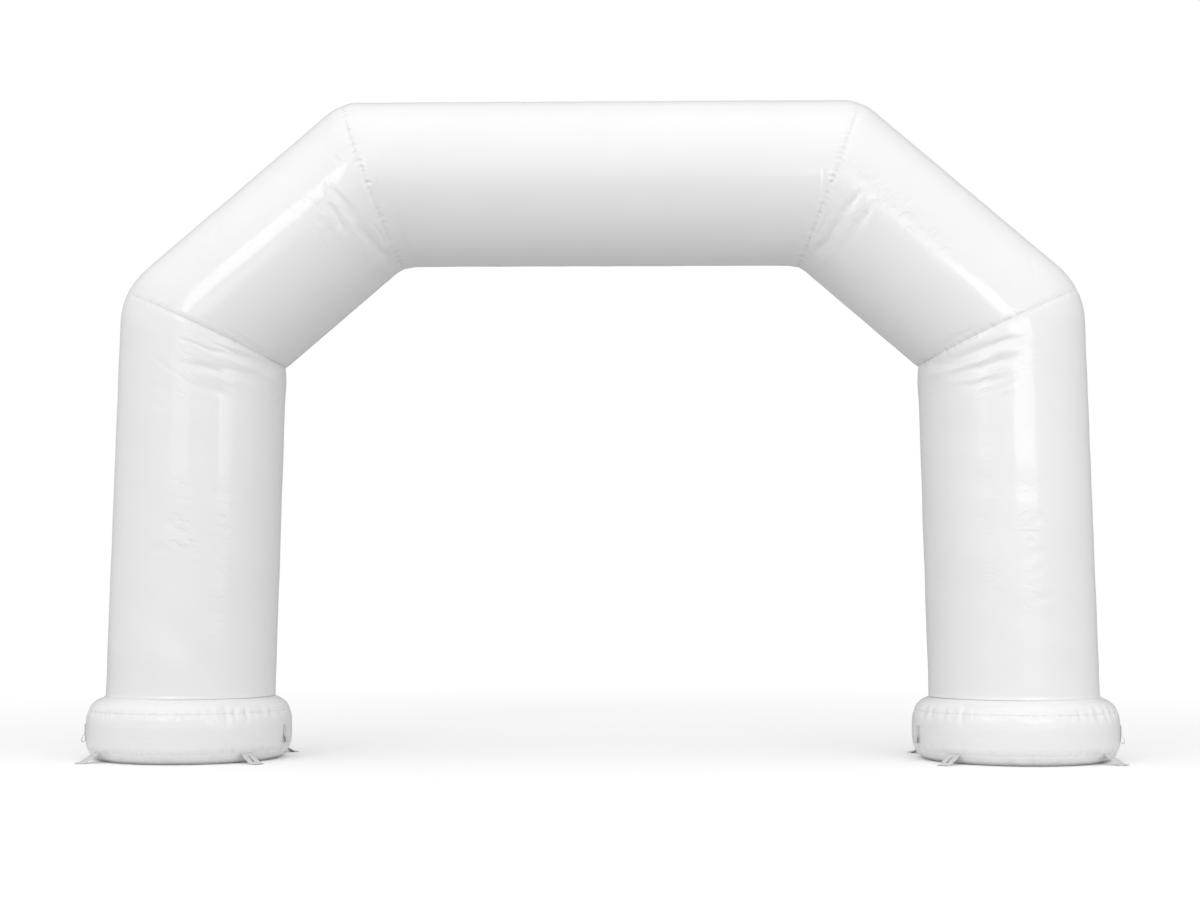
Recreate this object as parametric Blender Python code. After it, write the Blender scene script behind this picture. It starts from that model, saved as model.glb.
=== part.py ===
"""Inflatable archway of five mitred air tubes on two drum feet, in metres, +Z up.

The arch stands in the XZ plane and its front faces -Y. The origin is on the floor, midway
between the feet. Angles round a tube start at the arch's outer side (0), pass its front (90)
and reach the side that faces the passage (180).
"""
import math

import bmesh
import bpy
from mathutils import Vector

# Centreline of the tubes
TUBE_RADIUS = 0.5
LEG_X_AT_FLOOR = 2.474
SHOULDER_X = 2.422
SHOULDER_Z = 2.588
CROWN_X = 1.397
CROWN_Z = 3.48
PIECE_GAP = 0.0003

# Drum feet
FOOT_X = 2.472
FOOT_HEIGHT = 0.370
FOOT_LOW_SEAM_Z = 0.058
FOOT_TOP_SEAM_Z = 0.287
SCALLOPS = 15
SCALLOP_DEPTH = 0.004

# Mesh steps
TUBE_SIDES = 60
RING_CROWDING = 0.72

# How far the rounding of the outer corners reaches along each tube from its seams
CORNER_REACH = {
    ("leg_left", "end"): 0.198,
    ("shoulder_left", "start"): 0.198,
    ("shoulder_left", "end"): 0.11,
    ("beam", "start"): 0.11,
    ("beam", "end"): 0.11,
    ("shoulder_right", "start"): 0.11,
    ("shoulder_right", "end"): 0.198,
    ("leg_right", "start"): 0.198,
}

# How the seams draw the tubes in
SEAM_DRAW = 0.004
SEAM_DRAW_REACH = 0.05
ELBOW_BULGE = 0.004
ELBOW_BULGE_AT = 0.11
ELBOW_BULGE_REACH = 0.07
FOLD_RIDGE = 0.35
FOLD_RIDGE_STEP = 1.9
FOLD_TAPER_FROM = 0.12
FOLD_TAPER_RUN = 0.8

# Ground tabs
TAB_WIDTH = 0.08
TAB_THICKNESS = 0.003
TAB_BEND_RADIUS = 0.692
TAB_TIP_RADIUS = 0.72
TAB_SLOT_WIDTH = 0.014
TAB_SLOT_FROM = 0.028
TAB_SLOT_LENGTH = 0.06
TAB_CORNER = 0.016
SLOT_ROWS = (1, 2)
MIDDLE_COLUMN = 0.3
TAB_AZIMUTHS = {"front_outer": 49.0, "front_inner": -46.0, "back_outer": 128.0, "back_inner": -128.0}

# Side loops of webbing on the feet
LOOP_WIDTH = 0.036
LOOP_AZIMUTHS = {"outer": 78.0, "inner": -78.0}

# Outline of a side loop, seen along the wall: stand off from the wall, height
LOOP_OUTSIDE = (
    (0.000, 0.165),
    (0.000, 0.102),
    (0.014, 0.098),
    (0.025, 0.108),
    (0.025, 0.120),
    (0.006, 0.165),
)
LOOP_INSIDE = (
    (0.003, 0.157),
    (0.003, 0.105),
    (0.014, 0.101),
    (0.022, 0.109),
    (0.022, 0.118),
    (0.004, 0.157),
)
LOOP_TAIL = ((0.006, 0.205), (0.000, 0.205))

# Foot outline, from the floor up: radius, height, share of the seam's puckers
FOOT_OUTLINE = (
    (0.540, 0.000, 0.0),
    (0.572, 0.022, 0.5),
    (0.593, FOOT_LOW_SEAM_Z, 1.0),
    (0.602, 0.084, 0.6),
    (0.606, 0.122, 0.0),
    (0.607, 0.170, 0.0),
    (0.606, 0.220, 0.0),
    (0.602, 0.258, 0.6),
    (0.594, FOOT_TOP_SEAM_Z, 1.0),
    (0.581, 0.314, 0.7),
    (0.556, 0.341, 0.3),
    (0.500, FOOT_HEIGHT, 0.0),
)
LOW_SEAM_ROW = 2
WALL_ROW = 5

# Main puckers of the foot seams: foot, azimuth from the front, half width in degrees, depth
FOOT_PUCKERS = (
    ("left", 24.0, 4.0, 0.006),
    ("left", 36.0, 4.0, 0.010),
    ("left", 48.0, 4.0, 0.008),
    ("left", 66.0, 5.0, 0.007),
    ("left", -30.0, 5.0, 0.005),
    ("left", -66.0, 4.0, 0.006),
    ("left", -128.0, 5.0, 0.008),
    ("left", 150.0, 5.0, 0.007),
    ("right", 30.0, 4.0, 0.009),
    ("right", 42.0, 4.0, 0.009),
    ("right", 54.0, 4.0, 0.006),
    ("right", -42.0, 4.0, 0.008),
    ("right", -54.0, 4.0, 0.006),
    ("right", -72.0, 5.0, 0.008),
    ("right", 132.0, 5.0, 0.007),
    ("right", -144.0, 5.0, 0.008),
)

# Main folds of the tubes, each a straight trough on the unrolled cloth:
# tube, seam it starts from, angle and distance at one end, the same at the other, depth, half width
TUBE_FOLDS = (
    ("leg_right", "start", 168, 0.015, 84, 0.150, 0.014, 0.034),
    ("leg_right", "start", 140, 0.125, 86, 0.262, 0.010, 0.034),
    ("leg_right", "start", 128, 0.240, 96, 0.330, 0.007, 0.030),
    ("leg_right", "start", 200, 0.030, 262, 0.190, 0.011, 0.036),
    ("leg_left", "end", 166, 0.020, 112, 0.095, 0.012, 0.034),
    ("leg_left", "end", 132, 0.130, 72, 0.275, 0.010, 0.036),
    ("leg_left", "end", 114, 0.325, 86, 0.390, 0.006, 0.030),
    ("leg_left", "end", 198, 0.040, 268, 0.170, 0.010, 0.036),
    ("shoulder_left", "end", 170, 0.020, 84, 0.228, 0.012, 0.034),
    ("shoulder_left", "end", 124, 0.200, 92, 0.285, 0.008, 0.030),
    ("shoulder_left", "end", 192, 0.030, 258, 0.210, 0.010, 0.036),
    ("shoulder_left", "start", 165, 0.030, 116, 0.120, 0.008, 0.034),
    ("shoulder_right", "start", 168, 0.020, 86, 0.210, 0.012, 0.034),
    ("shoulder_right", "start", 128, 0.215, 88, 0.315, 0.009, 0.030),
    ("shoulder_right", "start", 194, 0.030, 250, 0.190, 0.010, 0.036),
    ("shoulder_right", "end", 164, 0.030, 112, 0.130, 0.008, 0.034),
    ("beam", "start", 164, 0.025, 118, 0.110, 0.008, 0.034),
    ("beam", "start", 196, 0.030, 240, 0.120, 0.008, 0.036),
    ("beam", "end", 166, 0.025, 120, 0.095, 0.008, 0.034),
    ("beam", "end", 198, 0.030, 246, 0.115, 0.008, 0.036),
)

FRONT = Vector((0.0, -1.0, 0.0))
UP = Vector((0.0, 0.0, 1.0))


def remove_scene_objects():
    """Clears the objects of the startup scene."""
    for thing in list(bpy.data.objects):
        bpy.data.objects.remove(thing, do_unlink=True)


def cloth_material(name, colour, roughness):
    """A coated cloth or webbing finish."""
    material = bpy.data.materials.new(name)
    material.use_nodes = True
    shader = material.node_tree.nodes["Principled BSDF"]
    shader.inputs["Base Color"].default_value = (*colour, 1.0)
    shader.inputs["Roughness"].default_value = roughness
    shader.inputs["Metallic"].default_value = 0.0
    return material


def add_object(name, bm, material):
    """Turns the finished bmesh into a named, smooth shaded object."""
    bmesh.ops.recalc_face_normals(bm, faces=bm.faces[:])
    mesh = bpy.data.meshes.new(name)
    bm.to_mesh(mesh)
    bm.free()
    mesh.materials.append(material)
    mesh.shade_smooth()
    mesh.set_sharp_from_angle(angle=math.radians(50))
    thing = bpy.data.objects.new(name, mesh)
    bpy.context.scene.collection.objects.link(thing)
    return thing


def smooth_fall(distance, reach):
    """One at no distance, easing to none at the reach."""
    share = max(0.0, 1.0 - distance / reach)
    return share * share * (3.0 - 2.0 * share)


def bump(value, centre, half_width):
    """A bell of height one."""
    return math.exp(-(((value - centre) / half_width) ** 2))


def rolled_grid(sides, steps, place):
    """A grid rolled into a closed skin: place(turn, share) gives each point, and both ends are filled."""
    bm = bmesh.new()
    bmesh.ops.create_grid(bm, x_segments=sides, y_segments=steps, size=1.0)
    for vertex in bm.verts:
        turn = (vertex.co.x + 1.0) / 2.0
        share = (vertex.co.y + 1.0) / 2.0
        vertex.co = place(turn, share)
    bmesh.ops.remove_doubles(bm, verts=bm.verts[:], dist=0.00001)
    rims = [edge for edge in bm.edges if edge.is_boundary]
    bmesh.ops.holes_fill(bm, edges=rims, sides=0)
    return bm


def mitre_normal(before, corner, after):
    """The normal of the plane that halves the bend at a corner."""
    return ((corner - before).normalized() + (after - corner).normalized()).normalized()


def fold_depth(tube, seam, angle, distance):
    """How far the troughs of one seam push the cloth in at this place."""
    depth = 0.0
    for row_tube, row_seam, a_from, d_from, a_to, d_to, deep, half_width in TUBE_FOLDS:
        if (row_tube, row_seam) != (tube, seam):
            continue
        arc = math.radians(angle) * TUBE_RADIUS
        start = Vector((math.radians(a_from) * TUBE_RADIUS, d_from))
        run = Vector((math.radians(a_to) * TUBE_RADIUS, d_to)) - start
        here = Vector((arc, distance)) - start
        along = min(1.0, max(0.0, here.dot(run) / run.length_squared))
        off = (here - along * run).length
        side_step = (here - along * run).y
        taper = math.sin(math.pi * (FOLD_TAPER_FROM + FOLD_TAPER_RUN * along))
        trough = bump(off, 0.0, half_width)
        ridge = FOLD_RIDGE * bump(side_step, FOLD_RIDGE_STEP * half_width, half_width)
        ridge *= bump(off, FOLD_RIDGE_STEP * half_width, half_width)
        depth += deep * taper * (trough - ridge)
    return depth


def seam_shape(tube, seam, bend, angle, distance):
    """The change of radius near a mitred seam, where the cloth turns by this slope on each side."""
    outside = max(0.0, math.cos(math.radians(angle)))
    inside = (0.5 - 0.5 * math.cos(math.radians(angle))) ** 3
    reach = CORNER_REACH[tube, seam]
    rounding = max(0.0, 1.0 - distance / reach) ** 2
    change = -0.5 * reach * bend * outside * rounding
    change -= SEAM_DRAW * smooth_fall(distance, SEAM_DRAW_REACH)
    change += ELBOW_BULGE * inside * bump(distance, ELBOW_BULGE_AT, ELBOW_BULGE_REACH)
    return change - fold_depth(tube, seam, angle, distance)


def make_tube(name, start, end, start_normal, end_normal, outer, rings, seams, material):
    """One tube panel between two seam planes, a seam gap's half short of each."""
    axis = (end - start).normalized()
    start_bend = math.tan(axis.angle(start_normal))
    end_bend = math.tan(axis.angle(end_normal))
    start = start + start_normal * (PIECE_GAP / 2)
    end = end - end_normal * (PIECE_GAP / 2)

    def place(turn, share):
        angle = 360.0 * turn
        radians = math.radians(angle)
        radial = math.cos(radians) * outer + math.sin(radians) * FRONT
        even = share - RING_CROWDING / math.tau * math.sin(math.tau * share)
        radius = TUBE_RADIUS
        low = -radius * radial.dot(start_normal) / axis.dot(start_normal)
        high = (end - start).dot(end_normal) / axis.dot(end_normal)
        high -= radius * radial.dot(end_normal) / axis.dot(end_normal)
        along = low + (high - low) * even
        if "start" in seams:
            radius += seam_shape(name, "start", start_bend, angle, along - low)
        if "end" in seams:
            radius += seam_shape(name, "end", end_bend, angle, high - along)
        point = start + along * axis + radius * radial
        return on_seam_plane(point, share, start, end, start_normal, end_normal, axis)

    return add_object(name, rolled_grid(TUBE_SIDES, rings, place), material)


def on_seam_plane(point, share, start, end, start_normal, end_normal, axis):
    """Keeps the first and last ring flat in their seam planes after the cloth is drawn in."""
    if share < 0.0001:
        return point - axis * ((point - start).dot(start_normal) / axis.dot(start_normal))
    if share > 0.9999:
        return point - axis * ((point - end).dot(end_normal) / axis.dot(end_normal))
    return point


def azimuth_direction(azimuth):
    """The level direction at an azimuth from the front, towards +X."""
    return Vector((math.sin(math.radians(azimuth)), -math.cos(math.radians(azimuth)), 0.0))


def foot_radius(side, azimuth, radius, pucker_share):
    """The foot's outline with the puckers of its seams pressed in."""
    depth = SCALLOP_DEPTH * (0.5 - 0.5 * math.cos(math.radians(SCALLOPS * azimuth)))
    for foot, centre, half_width, deep in FOOT_PUCKERS:
        if foot != side:
            continue
        off = (azimuth - centre + 180.0) % 360.0 - 180.0
        depth = max(depth, deep * bump(off, 0.0, half_width))
    return radius - depth * pucker_share


def make_foot(side, centre, material):
    """One drum foot: top panel, wall and tucked bottom panel, flat on the floor."""
    rows = len(FOOT_OUTLINE) - 1

    def place(turn, share):
        azimuth = 360.0 * turn - 180.0
        radius, height, pucker_share = FOOT_OUTLINE[round(share * rows)]
        reach = foot_radius(side, azimuth, radius, pucker_share)
        return centre + azimuth_direction(azimuth) * reach + UP * height

    return add_object("foot_" + side, rolled_grid(TUBE_SIDES, rows, place), material)


def seam_front(side, azimuth):
    """How far the foot's low seam reaches in this direction, over the width of a tab."""
    radius = FOOT_OUTLINE[LOW_SEAM_ROW][0]
    reach = 0.0
    for step in range(TUBE_SIDES):
        corner = 360.0 * step / TUBE_SIDES - 180.0
        off = math.radians((corner - azimuth + 180.0) % 360.0 - 180.0)
        if abs(math.sin(off)) * radius < TAB_WIDTH and math.cos(off) > 0.0:
            reach = max(reach, foot_radius(side, corner, radius, 1.0) * math.cos(off))
    return reach


def make_tab(side, place_name, azimuth, centre, material):
    """A slotted ground tab, sewn to the low seam and bent flat where it meets the floor."""
    root = Vector((seam_front(side, azimuth) + PIECE_GAP, FOOT_LOW_SEAM_Z))
    bend = Vector((TAB_BEND_RADIUS, TAB_THICKNESS / 2))
    slope = (bend - root).normalized()
    slot_from = root + slope * TAB_SLOT_FROM
    slot_to = root + slope * (TAB_SLOT_FROM + TAB_SLOT_LENGTH)
    tip = Vector((TAB_TIP_RADIUS, TAB_THICKNESS / 2))
    near_tip = Vector((TAB_TIP_RADIUS - TAB_CORNER, TAB_THICKNESS / 2))
    path = (root, slot_from, (slot_from + slot_to) / 2, slot_to, bend, near_tip, tip)
    last = len(path) - 1
    out = azimuth_direction(azimuth)
    across = UP.cross(out)
    columns = (-TAB_WIDTH / 2, -TAB_SLOT_WIDTH / 2, TAB_SLOT_WIDTH / 2, TAB_WIDTH / 2)

    bm = bmesh.new()
    bmesh.ops.create_grid(bm, x_segments=3, y_segments=last, size=1.0)
    hole = []
    for face in bm.faces:
        middle = face.calc_center_median()
        row = int((middle.y + 1.0) / 2.0 * last)
        if abs(middle.x) < MIDDLE_COLUMN and row in SLOT_ROWS:
            hole.append(face)
    for vertex in bm.verts:
        column = round((vertex.co.x + 1.0) / 2.0 * 3)
        step = round((vertex.co.y + 1.0) / 2.0 * last)
        offset = columns[column]
        if step == last and column in (0, 3):
            offset *= 1.0 - TAB_CORNER / (TAB_WIDTH / 2)
        spot = path[step]
        vertex.co = centre + out * spot.x + UP * spot.y + across * offset
    bmesh.ops.delete(bm, geom=hole, context="FACES_ONLY")
    bmesh.ops.recalc_face_normals(bm, faces=bm.faces[:])
    thicken(bm, out, slope, bend)
    return add_object("ground_tab_%s_%s" % (side, place_name), bm, material)


def thicken(bm, out, slope, bend):
    """Gives the flat strip its thickness, square to its path, half each way."""
    sloping = (-slope.y * out + slope.x * UP).normalized()
    bottom = bm.faces[:]
    swept = bmesh.ops.extrude_face_region(bm, geom=bottom, use_keep_orig=True)["geom"]
    moved = {item for item in swept if isinstance(item, bmesh.types.BMVert)}
    for vertex in bm.verts:
        flat = vertex.co.z < bend.y + PIECE_GAP
        square = UP if flat else sloping
        way = 0.5 if vertex in moved else -0.5
        vertex.co = vertex.co + square * (way * TAB_THICKNESS)


def make_loop(side, place_name, azimuth, centre, material):
    """A webbing loop: its tail is sewn flat to the wall and its eye stands off below."""
    wall = FOOT_OUTLINE[WALL_ROW][0] + PIECE_GAP
    out = azimuth_direction(azimuth)
    across = UP.cross(out)
    bm = bmesh.new()

    def corners(outline):
        edge = centre + out * wall - across * (LOOP_WIDTH / 2)
        return [bm.verts.new(edge + out * stand_off + UP * height) for stand_off, height in outline]

    outer = corners(LOOP_OUTSIDE)
    inner = corners(LOOP_INSIDE)
    tail = corners(LOOP_TAIL)
    for here in range(len(outer)):
        there = (here + 1) % len(outer)
        bm.faces.new((outer[here], outer[there], inner[there], inner[here]))
    bm.faces.new((outer[0], outer[-1], *tail))
    swept = bmesh.ops.extrude_face_region(bm, geom=bm.faces[:], use_keep_orig=True)["geom"]
    for item in swept:
        if isinstance(item, bmesh.types.BMVert):
            item.co = item.co + across * LOOP_WIDTH
    return add_object("side_loop_%s_%s" % (side, place_name), bm, material)


def make_tubes(material):
    """The two legs, two shoulders and the beam, mitred where they meet."""
    lean = (LEG_X_AT_FLOOR - SHOULDER_X) / SHOULDER_Z
    leg_bottom = FOOT_HEIGHT + PIECE_GAP / 2
    leg_x = LEG_X_AT_FLOOR - lean * leg_bottom
    line = (
        Vector((-leg_x, 0.0, leg_bottom)),
        Vector((-SHOULDER_X, 0.0, SHOULDER_Z)),
        Vector((-CROWN_X, 0.0, CROWN_Z)),
        Vector((CROWN_X, 0.0, CROWN_Z)),
        Vector((SHOULDER_X, 0.0, SHOULDER_Z)),
        Vector((leg_x, 0.0, leg_bottom)),
    )
    normals = [UP]
    for index in range(1, 5):
        normals.append(mitre_normal(line[index - 1], line[index], line[index + 1]))
    normals.append(-UP)
    # tube, rings, which of its ends are mitred
    panels = (
        ("leg_left", 13, ("end",)),
        ("shoulder_left", 14, ("start", "end")),
        ("beam", 12, ("start", "end")),
        ("shoulder_right", 14, ("start", "end")),
        ("leg_right", 13, ("start",)),
    )
    for index, (name, rings, seams) in enumerate(panels):
        start, end = line[index], line[index + 1]
        axis = (end - start).normalized()
        outer = FRONT.cross(axis)
        make_tube(name, start, end, normals[index], normals[index + 1], outer, rings, seams, material)


def build():
    """Makes every piece of the arch."""
    remove_scene_objects()
    cloth = cloth_material("coated_cloth_white", (0.86, 0.86, 0.87), 0.3)
    webbing = cloth_material("webbing_pale_grey", (0.68, 0.68, 0.69), 0.6)
    make_tubes(cloth)
    for side, way in (("left", -1.0), ("right", 1.0)):
        centre = Vector((way * FOOT_X, 0.0, 0.0))
        make_foot(side, centre, cloth)
        for place_name, azimuth in TAB_AZIMUTHS.items():
            make_tab(side, place_name, way * azimuth, centre, webbing)
        for place_name, azimuth in LOOP_AZIMUTHS.items():
            make_loop(side, place_name, way * azimuth, centre, webbing)


build()
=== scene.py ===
"""Looks of the inflatable arch: coated cloth with its puckers and creases, tabs, loops and stitching.

Angles round a tube start at the arch's outer side (0), pass its front (90) and reach the
side that faces the passage (180). Azimuths round a foot start at its front and grow towards +X.
"""
import math

import bmesh
import bpy
import numpy as np
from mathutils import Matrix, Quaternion, Vector


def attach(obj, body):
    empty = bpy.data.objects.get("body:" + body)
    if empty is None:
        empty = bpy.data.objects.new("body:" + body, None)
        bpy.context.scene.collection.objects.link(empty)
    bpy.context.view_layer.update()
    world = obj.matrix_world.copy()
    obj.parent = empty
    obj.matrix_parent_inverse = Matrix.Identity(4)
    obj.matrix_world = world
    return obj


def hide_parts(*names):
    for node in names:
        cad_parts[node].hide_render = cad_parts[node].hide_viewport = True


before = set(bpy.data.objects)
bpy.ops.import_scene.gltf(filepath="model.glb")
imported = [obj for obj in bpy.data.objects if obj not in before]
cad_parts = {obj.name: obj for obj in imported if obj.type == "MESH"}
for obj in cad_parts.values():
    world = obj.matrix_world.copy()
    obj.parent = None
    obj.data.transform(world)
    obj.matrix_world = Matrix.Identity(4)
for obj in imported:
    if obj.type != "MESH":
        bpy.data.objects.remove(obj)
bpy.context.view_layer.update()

# Camera, as fitted to the outlines of the tubes
CAMERA_PLACE = (0.234, -11.476, 0.965)
CAMERA_PITCH = 0.0768
CAMERA_TURN = 0.0207
FOCAL_PIXELS = 1900.0
PHOTO_WIDTH = 1200.0
SENSOR_WIDTH = 36.0

# Studio: the surround is brighter towards the front and the top, and a little towards the left
SURROUND_LEVEL = 0.78
SURROUND_SLOPE = (-0.07, -0.31, 0.19)

# Softboxes: name, place, aim, width and height, radiance, roll and spread in degrees
SOFTBOXES = (
    ("box_left", (-5.4, -8.9, 6.45), (-1.9, 0.0, 3.0), (3.0, 3.0), 2.7, 22.0, 90.0),
    ("strip_left", (-4.7, -8.9, 3.15), (-2.4, 0.0, 1.9), (4.0, 1.9), 0.7, 0.0, 180.0),
    ("box_right", (4.3, -6.3, 2.95), (2.4, 0.0, 2.2), (3.3, 2.0), 2.3, 0.0, 100.0),
    ("box_crown", (2.75, -6.3, 3.95), (1.9, 0.0, 3.0), (1.4, 1.9), 1.2, 54.0, 180.0),
    ("strip_right", (4.3, -6.3, 1.05), (2.4, 0.0, 1.1), (3.3, 1.7), 0.4, 0.0, 180.0),
    ("top_box", (0.0, -4.5, 7.4), (0.0, -4.4, 0.0), (12.0, 9.0), 0.16, 0.0, 180.0),
)

# Floor: what it reflects onto the arch, more near the feet, and its own glow, more far away
FLOOR_SIZE = 60.0
FLOOR_WHITE = 0.97
FLOOR_BOUNCE = 0.52
FLOOR_BOUNCE_AT_FEET = 0.76
FEET_NEAR = 0.7
FEET_FAR = 1.9
FLOOR_GLOW_NEAR = 0.05
FLOOR_GLOW_FAR = 0.16
FLOOR_GLOW_FROM = 5.0
FLOOR_GLOW_TO = 12.0

# Centreline of the tubes, as in the solids
TUBE_RADIUS = 0.5
LEG_X_AT_FLOOR = 2.474
SHOULDER_X = 2.422
SHOULDER_Z = 2.588
CROWN_X = 1.397
CROWN_Z = 3.48
PIECE_GAP = 0.0003
FOOT_X = 2.472
FOOT_HEIGHT = 0.370

# How far the rounding of the outer corners reaches from each seam, and the filling of the inner ones
CORNER_REACH = {"low_left": 0.198, "top_left": 0.11, "top_right": 0.11, "low_right": 0.198}
INNER_CORNER_REACH = {"low_left": 0.01, "top_left": 0.10, "top_right": 0.08, "low_right": 0.01}

OUTSIDE_POWER = 1.2

# How the seams draw the tubes in, with a groove that is shallower at the outer side
SEAM_DRAW = 0.003
SEAM_DRAW_REACH = 0.035
ELBOW_BULGE = {"leg_left": 0.004, "leg_right": 0.004}
ELBOW_BULGE_AT = 0.11
ELBOW_BULGE_REACH = 0.07
GROOVE_DEPTH = {"low_left": 0.0036, "top_left": 0.0020, "top_right": 0.0020, "low_right": 0.0036}
GROOVE_AT_OUTSIDE = 0.35
GROOVE_REACH = 0.006
FOOT_GROOVE_DEPTH = 0.0034

# Flare of the legs where they meet the feet, strongest at one angle and uneven elsewhere
FOOT_FLARE = 0.0046
FOOT_FLARE_REACH = 0.021
FOOT_FLARE_ANGLE = 88.0
FOOT_FLARE_HALF_WIDTH = 14.0
FOOT_FLARE_SHARE = 0.3
FOOT_FLARE_SWING = 0.2
FOOT_FLARE_TURNS = 7.0

# How a fold narrows along its run, fades at its ends, and raises a ridge beside it
FOLD_START_WIDTH = 1.25
FOLD_NARROWING = 0.5
FOLD_TAPER_FROM = 0.12
FOLD_TAPER_RUN = 0.8
FOLD_RIDGE = 0.35
FOLD_RIDGE_STEP = 1.9

# How the folds wander: size, distance over which it sets in, and waves round, along, shift, share
FOLD_WANDER = 0.006
FOLD_WANDER_FROM = 0.05
FOLD_WANDER_WAVES = ((13.0, 9.0, 1.0, 1.0), (31.0, -21.0, 2.0, 0.6))

# Mesh steps
TUBE_SIDES = 480
TUBE_RINGS = {
    "leg_left": 150,
    "shoulder_left": 116,
    "beam": 140,
    "shoulder_right": 116,
    "leg_right": 150,
}
RING_CROWDING = 0.78
FOOT_SIDES = 540
FOOT_PANEL_STEPS = (14, 40, 24)
RIM_SHARE = 1e-4
MERGE_DISTANCE = 0.00001
SKIN_SHARP_ANGLE = 55.0
STRAP_SHARP_ANGLE = 50.0
STRAP_RIM_ANGLE = 60.0
STRAP_BEVEL = 0.3

# Small creases scattered on each tube, and a slow swell
TUBE_SEED = 40
CREASES_PER_METRE = 26
CREASE_LEAN = 0.5
CREASE_HALF_LENGTH = (0.03, 0.12)
CREASE_HALF_WIDTH = (0.010, 0.020)
CREASE_DEPTH = (0.0001, 0.0007)
SWELL_WAVES = 26
SWELL_DEPTH = 0.0007
SWELL_DEPTH_SHARE = (0.5, 1.5)
SWELL_MOST_TURNS = 9
SWELL_PITCH = (4.0, 26.0)

# Crumpled patches: tube, angle, distance along the tube from its start,
# half width in degrees, half length, strength
CRUMPLED_PATCHES = (
    ("leg_left", 92.0, 1.89, 7.0, 0.20, 0.6),
    ("leg_left", 110.0, 1.95, 20.0, 0.10, 0.25),
    ("leg_left", 92.0, 1.06, 7.0, 0.13, 0.7),
    ("leg_left", 92.0, 1.24, 7.0, 0.10, 0.4),
    ("leg_left", 121.0, 1.02, 9.0, 0.28, 0.6),
    ("leg_left", 100.0, 0.85, 14.0, 0.10, 0.25),
    ("leg_left", 93.0, 0.92, 9.0, 0.05, 0.9),
    ("leg_left", 121.0, 0.60, 9.0, 0.25, 0.4),
    ("leg_right", 87.0, 1.02, 7.0, 0.10, 0.6),
    ("leg_right", 87.0, 1.22, 8.0, 0.14, 0.8),
    ("leg_right", 87.0, 1.55, 8.0, 0.22, 0.4),
    ("leg_right", 86.0, 0.72, 7.0, 0.16, 0.3),
    ("leg_right", 113.0, 0.38, 7.0, 0.20, 0.5),
    ("leg_right", 113.0, 0.95, 7.0, 0.40, 0.35),
    ("leg_right", 111.0, 1.45, 7.0, 0.25, 0.3),
    ("leg_right", 98.0, 0.30, 26.0, 0.12, 0.35),
    ("shoulder_left", 84.0, 1.02, 12.0, 0.16, 0.9),
    ("shoulder_left", 110.0, 1.05, 20.0, 0.14, 0.7),
    ("shoulder_right", 86.0, 0.50, 11.0, 0.40, 1.0),
    ("shoulder_right", 104.0, 0.25, 20.0, 0.14, 0.7),
    ("leg_left", 200.0, 1.85, 40.0, 0.22, 0.7),
    ("leg_right", 210.0, 0.38, 40.0, 0.22, 0.7),
    ("leg_left", 264.0, 1.30, 30.0, 0.26, 0.7),
    ("leg_right", 280.0, 1.05, 30.0, 0.26, 0.7),
    ("beam", 240.0, 1.30, 30.0, 0.30, 0.4),
)

# Ground tabs
TAB_WIDTH = 0.08
TAB_THICKNESS = 0.003
TAB_ROOT = 0.5935
TAB_ROOT_Z = 0.058
TAB_BEND_RADIUS = 0.692
TAB_TIP_RADIUS = 0.72
TAB_SLOT_WIDTH = 0.014
TAB_SLOT_FROM = 0.028
TAB_SLOT_LENGTH = 0.06
TAB_ROUNDING = 0.016
TAB_SAG = 0.0012
TAB_BEND_REACH = 0.012
TAB_SLOPE_STEPS = 22
TAB_BEND_STEPS = 8
TAB_SEED = 200
TAB_CURL = (0.001, 0.005)
TAB_TWIST = (-0.012, 0.012)
TAB_COLUMNS = (7, 5)
TAB_AZIMUTHS = {"front_outer": 49.0, "front_inner": -46.0, "back_outer": 128.0, "back_inner": -128.0}

# Side loops
LOOP_AZIMUTHS = {"outer": 78.0, "inner": -78.0}
LOOP_WIDTH = 0.036
LOOP_WALL = 0.6073
LOOP_THICKNESS = 0.0024
LOOP_COLUMNS = 9
LOOP_PARTS = 4

# Route of a side loop down the outside and back up the wall: stand off from the wall, height
LOOP_ROUTE = (
    (0.0044, 0.205),
    (0.0044, 0.185),
    (0.0044, 0.165),
    (0.0050, 0.152),
    (0.0076, 0.144),
    (0.0130, 0.136),
    (0.0190, 0.127),
    (0.0224, 0.117),
    (0.0222, 0.1085),
    (0.0182, 0.1020),
    (0.0125, 0.1004),
    (0.0065, 0.1020),
    (0.0024, 0.1075),
    (0.0014, 0.117),
    (0.0014, 0.140),
    (0.0014, 0.165),
    (0.0014, 0.205),
)

# Stitches
STITCH_PITCH = 0.011
STITCH_LENGTH = 0.0075
STITCH_RADIUS = 0.0009
STITCH_OFFSET = 0.009
STITCH_PLACES = 360
STITCH_KNOTS = ((-0.5, -0.2), (0.0, 0.75), (0.5, -0.2))

# Foot outline, from the floor up: radius, height. The seams are rows 2 and 8
FOOT_OUTLINE = (
    (0.530, 0.000),
    (0.569, 0.022),
    (0.593, TAB_ROOT_Z),
    (0.602, 0.084),
    (0.606, 0.122),
    (0.607, 0.170),
    (0.606, 0.220),
    (0.602, 0.258),
    (0.594, 0.287),
    (0.581, 0.314),
    (0.556, 0.341),
    (0.500, FOOT_HEIGHT),
)
FOOT_SEAM_ROWS = (2, 8)

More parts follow.
